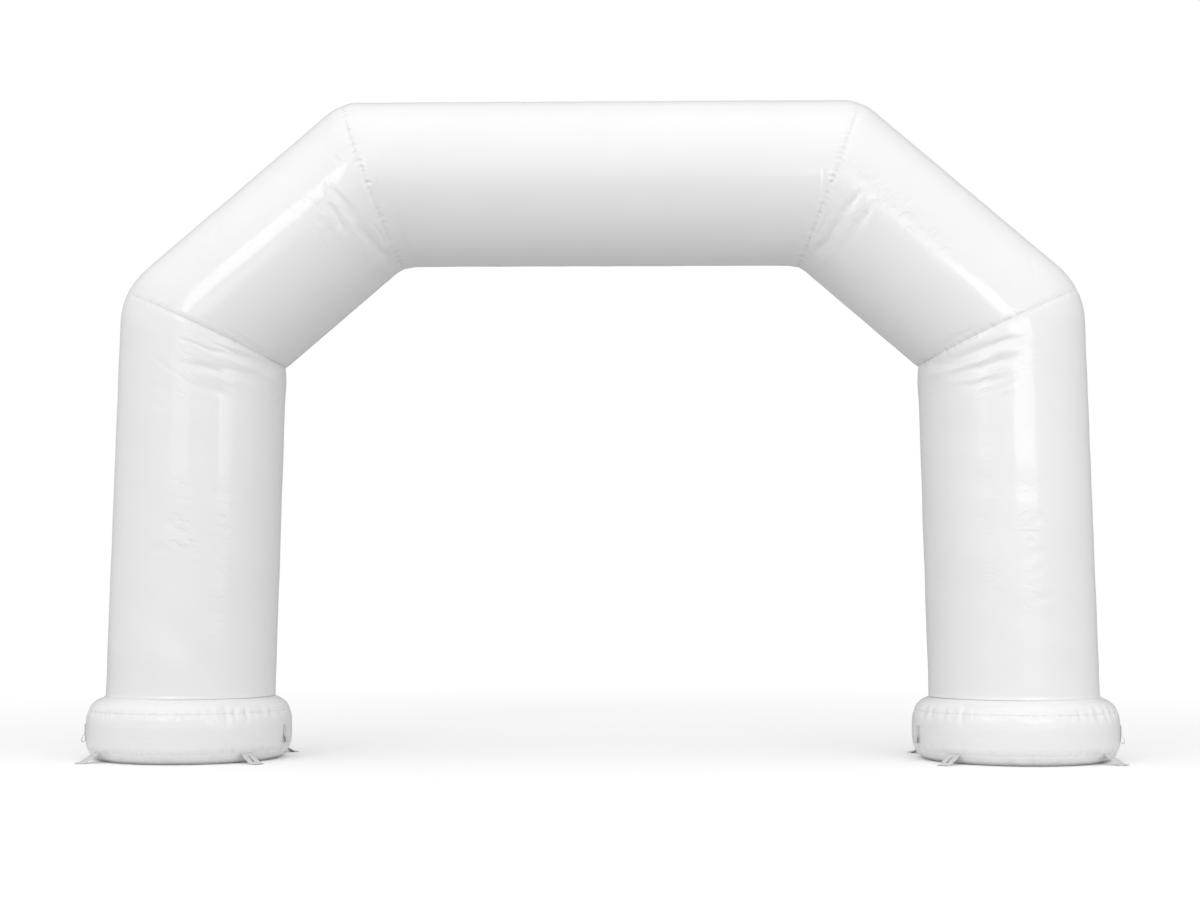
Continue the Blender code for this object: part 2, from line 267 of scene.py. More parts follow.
# Folds of the tubes, each a straight trough on the unrolled cloth:
# tube, seam it starts from, angle and distance at one end, the same at the other, depth, half width
TUBE_FOLDS = (
    ("leg_right", "start", 168, 0.015, 84, 0.150, 0.014, 0.030),
    ("leg_right", "start", 140, 0.125, 86, 0.262, 0.010, 0.028),
    ("leg_right", "start", 128, 0.240, 96, 0.330, 0.007, 0.024),
    ("leg_right", "start", 150, 0.060, 104, 0.168, 0.006, 0.013),
    ("leg_right", "start", 132, 0.190, 92, 0.296, 0.005, 0.012),
    ("leg_right", "start", 118, 0.330, 88, 0.400, 0.004, 0.012),
    ("leg_right", "start", 112, 0.090, 92, 0.120, 0.004, 0.010),
    ("leg_right", "start", 106, 0.215, 90, 0.232, 0.004, 0.009),
    ("leg_right", "start", 103, 0.425, 94, 0.440, 0.003, 0.010),
    ("leg_right", "start", 88, 1.225, 72, 1.205, 0.003, 0.012),
    ("leg_right", "start", 90, 1.400, 70, 1.425, 0.003, 0.012),
    ("leg_right", "start", 86, 1.520, 74, 1.500, 0.003, 0.011),
    ("leg_right", "start", 84, 1.680, 66, 1.700, 0.003, 0.014),
    ("leg_right", "start", 200, 0.030, 262, 0.190, 0.011, 0.032),
    ("leg_right", "start", 216, 0.150, 258, 0.300, 0.006, 0.020),
    ("leg_left", "end", 166, 0.020, 112, 0.095, 0.011, 0.028),
    ("leg_left", "end", 146, 0.130, 84, 0.275, 0.006, 0.028),
    ("leg_left", "end", 128, 0.325, 92, 0.370, 0.003, 0.020),
    ("leg_left", "end", 128, 0.060, 108, 0.066, 0.003, 0.010),
    ("leg_left", "end", 122, 0.098, 86, 0.130, 0.004, 0.010),
    ("leg_left", "end", 124, 0.225, 92, 0.240, 0.004, 0.010),
    ("leg_left", "end", 84, 0.330, 68, 0.320, 0.003, 0.011),
    ("leg_left", "end", 80, 0.455, 66, 0.470, 0.003, 0.011),
    ("leg_left", "end", 78, 0.575, 70, 0.570, 0.003, 0.010),
    ("leg_left", "end", 90, 1.230, 74, 1.215, 0.003, 0.012),
    ("leg_left", "end", 86, 1.395, 70, 1.410, 0.003, 0.012),
    ("leg_left", "end", 198, 0.040, 268, 0.170, 0.010, 0.032),
    ("leg_left", "end", 212, 0.160, 250, 0.280, 0.006, 0.020),
    ("shoulder_left", "end", 170, 0.020, 84, 0.228, 0.009, 0.030),
    ("shoulder_left", "end", 124, 0.200, 92, 0.285, 0.006, 0.024),
    ("shoulder_left", "end", 111, 0.125, 84, 0.232, 0.005, 0.011),
    ("shoulder_left", "end", 106, 0.240, 92, 0.284, 0.005, 0.010),
    ("shoulder_left", "end", 102, 0.358, 94, 0.380, 0.004, 0.010),
    ("shoulder_left", "end", 78, 0.110, 70, 0.150, 0.005, 0.010),
    ("shoulder_left", "end", 150, 0.060, 118, 0.160, 0.006, 0.014),
    ("shoulder_left", "end", 142, 0.030, 124, 0.070, 0.005, 0.010),
    ("shoulder_left", "end", 192, 0.030, 258, 0.210, 0.010, 0.032),
    ("shoulder_left", "start", 150, 0.018, 112, 0.048, 0.0025, 0.016),
    ("shoulder_left", "start", 60, 0.520, 48, 0.640, 0.003, 0.014),
    ("shoulder_right", "start", 168, 0.020, 86, 0.210, 0.010, 0.030),
    ("shoulder_right", "start", 128, 0.215, 88, 0.315, 0.006, 0.024),
    ("shoulder_right", "start", 111, 0.147, 87, 0.207, 0.006, 0.011),
    ("shoulder_right", "start", 82, 0.250, 73, 0.284, 0.004, 0.010),
    ("shoulder_right", "start", 112, 0.247, 90, 0.312, 0.005, 0.011),
    ("shoulder_right", "start", 150, 0.055, 120, 0.130, 0.006, 0.013),
    ("shoulder_right", "start", 140, 0.030, 118, 0.062, 0.005, 0.010),
    ("shoulder_right", "start", 194, 0.030, 250, 0.190, 0.010, 0.032),
    ("shoulder_right", "end", 152, 0.018, 112, 0.052, 0.003, 0.016),
    ("shoulder_right", "end", 58, 0.180, 46, 0.300, 0.003, 0.014),
    ("beam", "start", 164, 0.025, 118, 0.110, 0.005, 0.028),
    ("beam", "start", 112, 0.020, 96, 0.060, 0.003, 0.011),
    ("beam", "start", 196, 0.030, 240, 0.120, 0.008, 0.032),
    ("beam", "end", 166, 0.025, 120, 0.095, 0.004, 0.028),
    ("beam", "end", 110, 0.020, 92, 0.070, 0.002, 0.011),
    ("beam", "end", 198, 0.030, 246, 0.115, 0.008, 0.032),
)

# Puckers of the tube seams: seam, seed, share of strength outside, at front and back, and inside
SEAM_PUCKERS = {
    "low_left": (11, 0.9, 0.40, 0.6),
    "top_left": (12, 0.3, 0.75, 0.6),
    "top_right": (13, 0.3, 0.70, 0.6),
    "low_right": (14, 1.2, 0.55, 0.7),
}
PUCKER_COUNT = 92
PUCKER_DEPTH = (0.0010, 0.0085)
PUCKER_REACH = (0.018, 0.065)
PUCKER_HALF_WIDTH = (0.0065, 0.011)
PUCKER_JITTER = 0.38
PUCKER_LEAN = 0.3

# Main puckers of the foot seams: foot, azimuth from the front, half width in degrees, depth, reach
FOOT_PUCKERS = (
    ("left", 19.0, 1.6, 0.0055, 0.060),
    ("left", 24.0, 2.0, 0.0070, 0.075),
    ("left", 33.0, 2.2, 0.0095, 0.090),
    ("left", 38.5, 1.6, 0.0080, 0.070),
    ("left", 46.0, 1.9, 0.0085, 0.080),
    ("left", 51.0, 1.4, 0.0060, 0.060),
    ("left", 58.0, 2.0, 0.0070, 0.075),
    ("left", 66.0, 2.2, 0.0060, 0.060),
    ("left", -30.0, 2.0, 0.0050, 0.055),
    ("left", -66.0, 2.4, 0.0060, 0.070),
    ("left", -128.0, 2.4, 0.0080, 0.080),
    ("left", 150.0, 2.4, 0.0070, 0.075),
    ("right", 27.0, 1.9, 0.0080, 0.080),
    ("right", 33.0, 1.6, 0.0070, 0.070),
    ("right", 41.0, 2.1, 0.0090, 0.085),
    ("right", 49.0, 1.8, 0.0070, 0.070),
    ("right", 57.0, 1.8, 0.0060, 0.060),
    ("right", -41.0, 1.9, 0.0085, 0.085),
    ("right", -47.0, 1.5, 0.0060, 0.060),
    ("right", -54.0, 2.0, 0.0065, 0.070),
    ("right", -64.0, 1.8, 0.0070, 0.070),
    ("right", -73.0, 2.3, 0.0080, 0.070),
    ("right", 132.0, 2.4, 0.0070, 0.075),
    ("right", -144.0, 2.4, 0.0080, 0.080),
)
FOOT_PUCKER_COUNT = 104
FOOT_PUCKER_DEPTH = (0.0010, 0.0056)
FOOT_PUCKER_REACH = (0.020, 0.060)
FOOT_PUCKER_HALF_WIDTH = (0.0065, 0.012)
FOOT_SEEDS = {"left": 80, "right": 70}

# Main puckers lean a few degrees for each metre, and are weaker at the low seam than at the top one
FOOT_PUCKER_LEAN = 10.0
FOOT_PUCKER_SHARES = (0.55, 1.0)

# The puckers are weaker under the low seam and flatten out behind a tab, towards the floor and at the leg
UNDER_SEAM_SHARE = 0.35
TAB_FLATTENING = 0.9
TAB_FLATTENING_HALF_WIDTH = 5.0
FLOOR_MARGIN = 0.002
FLOOR_FADE = 0.02
TOP_FADE = 0.012
TOP_SHARE = 0.35
TOP_PANEL_RISE = 0.05
TOP_PANEL_SAG = 0.6

# Cloth, webbing and thread: shades, and depths and pitches in metres
CLOTH_SHADES = ((0.880, 0.880, 0.885), (0.862, 0.864, 0.870))
FOOT_CLOTH_SHADES = ((0.870, 0.870, 0.875), (0.850, 0.852, 0.858))
CLOTH_ROUGHNESS = 0.36
FOOT_CLOTH_ROUGHNESS = 0.34
CLOTH_WEAVE_PITCH = 0.0022
CLOTH_WEAVE_DEPTH = 0.00010
HANDLING_DEPTH = 0.0004
CRUMPLE_DEPTH = 0.0028
CRUMPLE_SCALE = (13.0, 34.0, 1.0)
FOOT_CRUMPLED = 0.15
DUST = (0.55, 0.54, 0.52)
DUST_HEIGHT = 0.10
WEBBING_SHADES = ((0.80, 0.80, 0.80), (0.62, 0.62, 0.62))
WEBBING_WEAVE_PITCH = 0.0016
WEBBING_WEAVE_DEPTH = 0.0004
WEBBING_WEAR = (0.50, 0.49, 0.47)
THREAD_SHADES = ((0.74, 0.74, 0.75), (0.84, 0.84, 0.85))
THREAD_TWIST_SCALE = 260.0

FRONT = np.array([0.0, -1.0, 0.0])
UP = np.array([0.0, 0.0, 1.0])
UP_OF_PATH = np.array([0.0, 1.0])


def run_along(path):
    """How far along a path each of its points lies."""
    return np.concatenate([[0.0], np.cumsum(np.hypot(*np.diff(path, axis=0).T))])


def unit(vector):
    """The vector at length one."""
    return vector / np.linalg.norm(vector)


def fall(distance, reach):
    """One at no distance, easing to none at the reach."""
    share = np.clip(1.0 - distance / reach, 0.0, 1.0)
    return share * share * (3.0 - 2.0 * share)


def bell(value, half_width):
    """A bell of height one round nought."""
    return np.exp(-((value / half_width) ** 2))


def wrapped(offset, total):
    """An offset round a closed ring, from minus half a turn to half a turn."""
    return (offset + total / 2.0) % total - total / 2.0


def trough(arc, distance, start, stop, depth, half_width):
    """A straight trough with a low ridge above it, on the unrolled cloth."""
    run_arc = stop[0] - start[0]
    run_far = stop[1] - start[1]
    here_arc = arc - start[0]
    here_far = distance - start[1]
    along = (here_arc * run_arc + here_far * run_far) / (run_arc ** 2 + run_far ** 2)
    along = np.clip(along, 0.0, 1.0)
    half_width = half_width * (FOLD_START_WIDTH - FOLD_NARROWING * along)
    off_arc = here_arc - along * run_arc
    off_far = here_far - along * run_far
    off = np.hypot(off_arc, off_far)
    taper = np.sin(math.pi * (FOLD_TAPER_FROM + FOLD_TAPER_RUN * along))
    ridge = FOLD_RIDGE * bell(off_far - FOLD_RIDGE_STEP * half_width, half_width)
    ridge *= bell(off - FOLD_RIDGE_STEP * half_width, half_width)
    return depth * taper * (bell(off, half_width) - ridge)


def pucker_field(draw, arc, distance, total, count, strength, limits):
    """Short furrows square to a seam, uneven in depth, reach, width and lean."""
    depth_limits, reach_limits, width_limits = limits
    furrows = np.zeros_like(arc)
    near = distance < reach_limits[1]
    arc_near = arc[near]
    distance_near = distance[near]
    found = np.zeros_like(arc_near)
    for index in range(count):
        centre = (index + draw.uniform(-PUCKER_JITTER, PUCKER_JITTER)) / count * total
        depth = draw.uniform(*depth_limits) * strength(centre / total)
        reach = draw.uniform(*reach_limits)
        half_width = draw.uniform(*width_limits)
        lean = draw.uniform(-PUCKER_LEAN, PUCKER_LEAN)
        off = wrapped(arc_near - centre - lean * distance_near, total)
        found += depth * bell(off, half_width) * fall(distance_near, reach)
    furrows[near] = found
    return furrows


def seam_strength(shares):
    """How strong a mitred seam's puckers are round the tube."""
    outside, sides, inside = shares

    def strength(turn):
        lean = math.cos(math.tau * turn)
        ends = outside * max(0.0, lean) ** 2 + inside * max(0.0, -lean) ** 2
        return ends + sides * (1.0 - lean ** 2)

    return strength


def corner_change(distance, reach):
    """How far a mitre's corner is rounded or filled, easing to none at the reach."""
    return reach * np.clip(1.0 - distance / reach, 0.0, 1.0) ** 2


def seam_change(tube, seam, angle, distance):
    """The change of radius near a mitred seam: corners, bulge, groove, puckers and folds."""
    lean = np.cos(np.radians(angle))
    normal = tube["normals"][0 if seam == "start" else 1]
    half_turn = math.acos(min(1.0, float(normal @ tube["axis"])))
    inside = (0.5 - 0.5 * lean) ** 3
    joint = tube["seams"][seam]
    rounding = np.clip(lean, 0.0, 1.0) ** OUTSIDE_POWER * corner_change(distance, CORNER_REACH[joint])
    filling = np.clip(-lean, 0.0, 1.0) ** OUTSIDE_POWER * corner_change(distance, INNER_CORNER_REACH[joint])
    change = 0.5 * math.tan(half_turn) * (filling - rounding)
    change -= SEAM_DRAW * fall(distance, SEAM_DRAW_REACH)
    bulge = ELBOW_BULGE.get(tube["name"], 0.0)
    change += bulge * inside * bell(distance - ELBOW_BULGE_AT, ELBOW_BULGE_REACH)
    groove_share = GROOVE_AT_OUTSIDE + (1.0 - GROOVE_AT_OUTSIDE) * inside
    change -= GROOVE_DEPTH[joint] * groove_share * fall(distance, GROOVE_REACH)
    seed, *shares = SEAM_PUCKERS[joint]
    arc = np.radians(angle) * TUBE_RADIUS
    limits = (PUCKER_DEPTH, PUCKER_REACH, PUCKER_HALF_WIDTH)
    total = math.tau * TUBE_RADIUS
    draw = np.random.default_rng(seed)
    strength = seam_strength(shares)
    change -= pucker_field(draw, arc, distance, total, PUCKER_COUNT, strength, limits)
    wander = sum(
        share * np.sin(round_tube * arc + along_tube * distance + shift * seed)
        for round_tube, along_tube, shift, share in FOLD_WANDER_WAVES)
    wandered = distance + FOLD_WANDER * wander * np.clip(distance / FOLD_WANDER_FROM, 0.0, 1.0)
    for name, end, a_from, d_from, a_to, d_to, depth, half_width in TUBE_FOLDS:
        if (name, end) == (tube["name"], seam):
            start = (math.radians(a_from) * TUBE_RADIUS, d_from)
            stop = (math.radians(a_to) * TUBE_RADIUS, d_to)
            change -= trough(arc, wandered, start, stop, depth, half_width)
    return change


def scattered_creases(draw, angle, along, length):
    """Small shallow creases and a slow swell, which break up the reflections."""
    arc = np.radians(angle) * TUBE_RADIUS
    total = math.tau * TUBE_RADIUS
    change = np.zeros_like(arc)
    for _ in range(int(CREASES_PER_METRE * length)):
        centre = (draw.uniform(0.0, total), draw.uniform(0.0, length))
        heading = draw.normal(0.0, CREASE_LEAN)
        half_length = draw.uniform(*CREASE_HALF_LENGTH)
        half_width = draw.uniform(*CREASE_HALF_WIDTH)
        depth = draw.uniform(*CREASE_DEPTH)
        off_arc = wrapped(arc - centre[0], total)
        off_far = along - centre[1]
        lengthwise = off_arc * math.cos(heading) + off_far * math.sin(heading)
        across = off_far * math.cos(heading) - off_arc * math.sin(heading)
        change -= depth * bell(lengthwise, half_length) * bell(across, half_width)
    for _ in range(SWELL_WAVES):
        turns = draw.integers(0, SWELL_MOST_TURNS)
        pitch = draw.uniform(*SWELL_PITCH)
        phase = draw.uniform(0.0, math.tau)
        depth = SWELL_DEPTH / math.sqrt(SWELL_WAVES) * draw.uniform(*SWELL_DEPTH_SHARE)
        change += depth * np.sin(turns * np.radians(angle) + pitch * along + phase)
    return change


def panel_span(tube, turn):
    """The direction outward at each point of a tube, and where its two rims lie along its axis."""
    first, last = tube["normals"]
    radians = np.radians(360.0 * turn)
    radial = np.outer(np.cos(radians), tube["outer"]) + np.outer(np.sin(radians), FRONT)
    axis = tube["axis"]
    low = -TUBE_RADIUS * (radial @ first) / (axis @ first)
    high = (tube["end"] - tube["start"]) @ axis - TUBE_RADIUS * (radial @ last) / (axis @ last)
    return radial, low, high


def ring_place(share):
    """The rings of a tube lie closer together near its seams."""
    return share - RING_CROWDING / math.tau * np.sin(math.tau * share)


def tube_run(tube, turn, share):
    """How far each point lies from the panel's start, along its axis."""
    _, low, high = panel_span(tube, turn)
    return low + (high - low) * ring_place(share)


def tube_points(tube, turn, share):
    """Where each point of a tube panel lies."""
    start, end, axis = tube["start"], tube["end"], tube["axis"]
    first, last = tube["normals"]
    angle = 360.0 * turn
    radial, low, high = panel_span(tube, turn)
    along = low + (high - low) * ring_place(share)
    draw = np.random.default_rng(tube["seed"])
    radius = TUBE_RADIUS + scattered_creases(draw, angle, along, float((end - start) @ axis))
    if "start" in tube["seams"]:
        radius += seam_change(tube, "start", angle, along - low)
    if "end" in tube["seams"]:
        radius += seam_change(tube, "end", angle, high - along)
    if tube["name"].startswith("leg"):
        above_foot = along - low if "end" in tube["seams"] else high - along
        waves = np.sin(np.radians(FOOT_FLARE_TURNS * angle) + tube["seed"])
        uneven = FOOT_FLARE_SHARE + FOOT_FLARE_SWING * waves
        main = bell(wrapped(angle - FOOT_FLARE_ANGLE, 360.0), FOOT_FLARE_HALF_WIDTH)
        uneven += (1.0 - uneven) * main
        radius += FOOT_FLARE * uneven * fall(above_foot, FOOT_FLARE_REACH)
    points = start + np.outer(along, axis) + radial * radius[:, None]
    rims = ((share < RIM_SHARE, start, first), (share > 1.0 - RIM_SHARE, end, last))
    for rim, spot, normal in rims:
        slip = ((points[rim] - spot) @ normal) / (axis @ normal)
        points[rim] -= np.outer(slip, axis)
    return points


def tube_panels():
    """The five tube panels, each with its ends, seam planes and seams."""
    lean = (LEG_X_AT_FLOOR - SHOULDER_X) / SHOULDER_Z
    bottom = FOOT_HEIGHT + PIECE_GAP / 2
    leg_x = LEG_X_AT_FLOOR - lean * bottom
    line = [np.array(spot) for spot in (
        (-leg_x, 0.0, bottom), (-SHOULDER_X, 0.0, SHOULDER_Z), (-CROWN_X, 0.0, CROWN_Z),
        (CROWN_X, 0.0, CROWN_Z), (SHOULDER_X, 0.0, SHOULDER_Z), (leg_x, 0.0, bottom))]
    steps = [unit(line[index + 1] - line[index]) for index in range(5)]
    normals = [UP] + [unit(steps[index] + steps[index + 1]) for index in range(4)] + [-UP]
    panels = (
        ("leg_left", {"end": "low_left"}),
        ("shoulder_left", {"start": "low_left", "end": "top_left"}),
        ("beam", {"start": "top_left", "end": "top_right"}),
        ("shoulder_right", {"start": "top_right", "end": "low_right"}),
        ("leg_right", {"start": "low_right"}),
    )
    tubes = []
    for index, (name, seams) in enumerate(panels):
        first, last = normals[index], normals[index + 1]
        tubes.append({
            "name": name,
            "seams": seams,
            "seed": TUBE_SEED + index,
            "start": line[index] + first * (PIECE_GAP / 2),
            "end": line[index + 1] - last * (PIECE_GAP / 2),
            "axis": steps[index],
            "outer": unit(np.cross(FRONT, steps[index])),
            "normals": (first, last),
        })
    return tubes


def crumpling(name, angle, along):
    """How crumpled the cloth of a tube is at each point, from none to one."""
    amount = np.zeros_like(angle)
    for tube, middle, height, half_angle, half_height, strength in CRUMPLED_PATCHES:
        if tube == name:
            patch = bell(wrapped(angle - middle, 360.0), half_angle) * bell(along - height, half_height)
            amount = np.maximum(amount, strength * patch)
    return amount


def rolled_skin(name, sides, steps, place, cloth_size, crumpled):
    """A fine grid rolled into a closed skin with filled ends, and the cloth's own UV in metres."""
    bm = bmesh.new()
    cloth = bm.loops.layers.uv.new("cloth")
    bmesh.ops.create_grid(bm, x_segments=sides, y_segments=steps, size=1.0, calc_uvs=True)
    flat = np.array([vertex.co[:2] for vertex in bm.verts])
    turn = (flat[:, 0] + 1.0) / 2.0
    share = (flat[:, 1] + 1.0) / 2.0
    layer = bm.verts.layers.float.new("crumpled")
    for vertex, point, amount in zip(bm.verts, place(turn, share), crumpled(turn, share)):
        vertex.co = point
        vertex[layer] = amount
    for face in bm.faces:
        for loop in face.loops:
            loop[cloth].uv = (loop[cloth].uv[0] * cloth_size[0], loop[cloth].uv[1] * cloth_size[1])
    bmesh.ops.remove_doubles(bm, verts=bm.verts[:], dist=MERGE_DISTANCE)
    rims = [edge for edge in bm.edges if edge.is_boundary]
    bmesh.ops.holes_fill(bm, edges=rims, sides=0)
    bmesh.ops.recalc_face_normals(bm, faces=bm.faces[:])
    return finished(name, bm, SKIN_SHARP_ANGLE)


def finished(name, bm, sharp_angle):
    """A smooth shaded object from a bmesh."""
    mesh = bpy.data.meshes.new(name)
    bm.to_mesh(mesh)
    bm.free()
    mesh.shade_smooth()
    mesh.set_sharp_from_angle(angle=math.radians(sharp_angle))
    piece = bpy.data.objects.new(name, mesh)
    bpy.context.scene.collection.objects.link(piece)
    return piece


def azimuth_direction(azimuth):
    """The level direction at an azimuth from the front."""
    return np.array([math.sin(math.radians(azimuth)), -math.cos(math.radians(azimuth)), 0.0])


def between(first, last, first_slope, last_slope, t, gap=1.0):
    """A point on the smooth curve from the first point to the last, with the given slopes."""
    first_pull = (2 * t ** 3 - 3 * t ** 2 + 1) * first + (t ** 3 - 2 * t ** 2 + t) * gap * first_slope
    last_pull = (3 * t ** 2 - 2 * t ** 3) * last + (t ** 3 - t ** 2) * gap * last_slope
    return first_pull + last_pull


def panel_curve(rows, steps):
    """Points along a smooth curve through the rows of one foot panel."""
    rows = np.array(rows)
    run = run_along(rows)
    slopes = np.gradient(rows, run, axis=0)
    places = np.linspace(0.0, run[-1], steps + 1)
    found = []
    for place in places:
        index = min(len(run) - 2, int(np.searchsorted(run, place, side="right")) - 1)
        gap = run[index + 1] - run[index]
        t = (place - run[index]) / gap
        found.append(between(rows[index], rows[index + 1], slopes[index], slopes[index + 1], t, gap))
    return np.array(found)


def foot_curve():
    """The whole outline of a foot, panel by panel, and how far along it each seam is."""
    low, top = FOOT_SEAM_ROWS
    cuts = ((0, low), (low, top), (top, len(FOOT_OUTLINE) - 1))
    parts = []
    for (first, last), steps in zip(cuts, FOOT_PANEL_STEPS):
        part = panel_curve(FOOT_OUTLINE[first:last + 1], steps)
        parts.append(part if not parts else part[1:])
    outline = np.concatenate(parts)
    run = run_along(outline)
    return outline, run, (run[FOOT_PANEL_STEPS[0]], run[FOOT_PANEL_STEPS[0] + FOOT_PANEL_STEPS[1]])


def make_foot(side, centre):
    """One drum foot with its two puckered seams."""
    outline, run, seams = foot_curve()
    last = len(outline) - 1
    total = math.tau * FOOT_OUTLINE[FOOT_SEAM_ROWS[0]][0]
    limits = (FOOT_PUCKER_DEPTH, FOOT_PUCKER_REACH, FOOT_PUCKER_HALF_WIDTH)

    def place(turn, share):
        row = np.rint(share * last).astype(int)
        azimuth = 360.0 * turn - 180.0
        arc = turn * total
        radius = outline[row, 0].copy()
        height = outline[row, 1].copy()
        far = run[row]
        depth = np.zeros_like(arc)
        for index, seam in enumerate(seams):
            draw = np.random.default_rng(FOOT_SEEDS[side] + index)
            away = np.abs(far - seam)
            short = np.ones_like(far)
            if index == 0:
                short[far <= seam] = UNDER_SEAM_SHARE
                for sewn in TAB_AZIMUTHS.values():
                    way = -1.0 if side == "left" else 1.0
                    off = wrapped(azimuth - way * sewn, 360.0)
                    short *= 1.0 - TAB_FLATTENING * bell(off, TAB_FLATTENING_HALF_WIDTH)
            depth += short * pucker_field(
                draw, arc, away, total, FOOT_PUCKER_COUNT, lambda turn: 1.0, limits)
            depth += FOOT_GROOVE_DEPTH * fall(away, GROOVE_REACH)
            for foot, middle, half_width, deep, reach in FOOT_PUCKERS:
                if foot == side:
                    off = wrapped(azimuth - middle - FOOT_PUCKER_LEAN * away, 360.0)
                    main = deep * FOOT_PUCKER_SHARES[index] * bell(off, half_width)
                    depth += short * main * fall(away, reach)
        above_floor = np.clip((height - FLOOR_MARGIN) / FLOOR_FADE, 0.0, 1.0)
        below_leg = np.clip((FOOT_HEIGHT - height) / TOP_FADE, 0.0, 1.0)
        radius -= depth * above_floor * (TOP_SHARE + (1.0 - TOP_SHARE) * below_leg)
        on_top = np.clip((height - FOOT_OUTLINE[FOOT_SEAM_ROWS[1]][1]) / TOP_PANEL_RISE, 0.0, 1.0)
        height -= TOP_PANEL_SAG * depth * on_top * below_leg
        radians = np.radians(azimuth)
        outward = np.stack([np.sin(radians), -np.cos(radians), np.zeros_like(radians)], axis=1)
        return centre + outward * radius[:, None] + np.outer(height, UP)

    return rolled_skin(
        "drum_foot_" + side, FOOT_SIDES, last, place, (total, run[-1]),
        lambda turn, share: np.full_like(turn, FOOT_CRUMPLED))


def strip(name, centre, azimuth, path, width, thickness, hole, rounding, twist=0.0):
    """A strap bent along a path of reach and height, with an optional slot and rounded tip."""
    out = azimuth_direction(azimuth)
    across = np.cross(UP, out)
    steps = len(path) - 1
    path = np.array(path)
    heading = np.gradient(path, axis=0)
    square = np.stack([-heading[:, 1], heading[:, 0]], axis=1)
    square /= np.linalg.norm(square, axis=1)[:, None]
    run = run_along(path)
    slot_from, slot_to, slot_width = hole or (0.0, 0.0, 0.0)
    columns = strip_columns(width, slot_width)
    last = len(columns) - 1
    bm = bmesh.new()
    weave_map = bm.loops.layers.uv.new("cloth")
    bmesh.ops.create_grid(bm, x_segments=last, y_segments=steps, size=1.0, calc_uvs=True)
    cut = []
    for face in bm.faces:
        middle = face.calc_center_median()
        column = int((middle.x + 1.0) / 2.0 * last)
        step = int((middle.y + 1.0) / 2.0 * steps)
        if abs(columns[column] + columns[column + 1]) < slot_width:
            if slot_from < (run[step] + run[step + 1]) / 2 < slot_to:
                cut.append(face)
        for loop in face.loops:
            column, step = grid_place(loop.vert.co, last, steps)
            loop[weave_map].uv = (columns[column], run[step])
    facing = bm.verts.layers.float_vector.new("facing")
    for vertex in bm.verts:
        column, step = grid_place(vertex.co, last, steps)
        narrow = corner_cut(run[-1] - run[step], rounding, width)
        offset = columns[column]
        if abs(offset) > slot_width / 2 + MERGE_DISTANCE / 10:
            offset *= narrow
        lift = max(0.0, twist * offset / width * (run[step] / run[-1]) ** 3)
        vertex.co = centre + out * path[step, 0] + UP * (path[step, 1] + lift) + across * offset
        vertex[facing] = out * square[step, 0] + UP * square[step, 1]
    bmesh.ops.delete(bm, geom=cut, context="FACES")
    swept = bmesh.ops.extrude_face_region(bm, geom=bm.faces[:], use_keep_orig=True)["geom"]
    raised = {item for item in swept if isinstance(item, bmesh.types.BMVert)}
    for vertex in bm.verts:
        way = 0.5 if vertex in raised else -0.5
        vertex.co += vertex[facing] * (way * thickness)
    bm.verts.layers.float_vector.remove(facing)
    bmesh.ops.recalc_face_normals(bm, faces=bm.faces[:])
    rim_angle = math.radians(STRAP_RIM_ANGLE)
    rims = [edge for edge in bm.edges if len(edge.link_faces) == 2 and edge.calc_face_angle() > rim_angle]
    bmesh.ops.bevel(bm, geom=rims, offset=thickness * STRAP_BEVEL, offset_type="OFFSET", segments=2,
                    profile=0.5, affect="EDGES", material=-1)
    return finished(name, bm, STRAP_SHARP_ANGLE)


def grid_place(spot, last, steps):
    """The column and step of a corner of a grid two units across."""
    return round((spot.x + 1.0) / 2.0 * last), round((spot.y + 1.0) / 2.0 * steps)


def strip_columns(width, slot_width):
    """Places across a strap, with lines at the slot's edges."""
    half = width / 2
    if not slot_width:
        return np.linspace(-half, half, LOOP_COLUMNS)
    slot = slot_width / 2
    beside, inside = TAB_COLUMNS
    return np.concatenate([
        np.linspace(-half, -slot, beside),
        np.linspace(-slot, slot, inside)[1:-1],
        np.linspace(slot, half, beside)])


def corner_cut(to_tip, rounding, width):
    """How the strap narrows over its rounded tip corners."""
    if not rounding or to_tip >= rounding:
        return 1.0
    kept = math.sqrt(max(0.0, rounding ** 2 - (rounding - to_tip) ** 2))
    return 1.0 - (rounding - kept) / (width / 2)


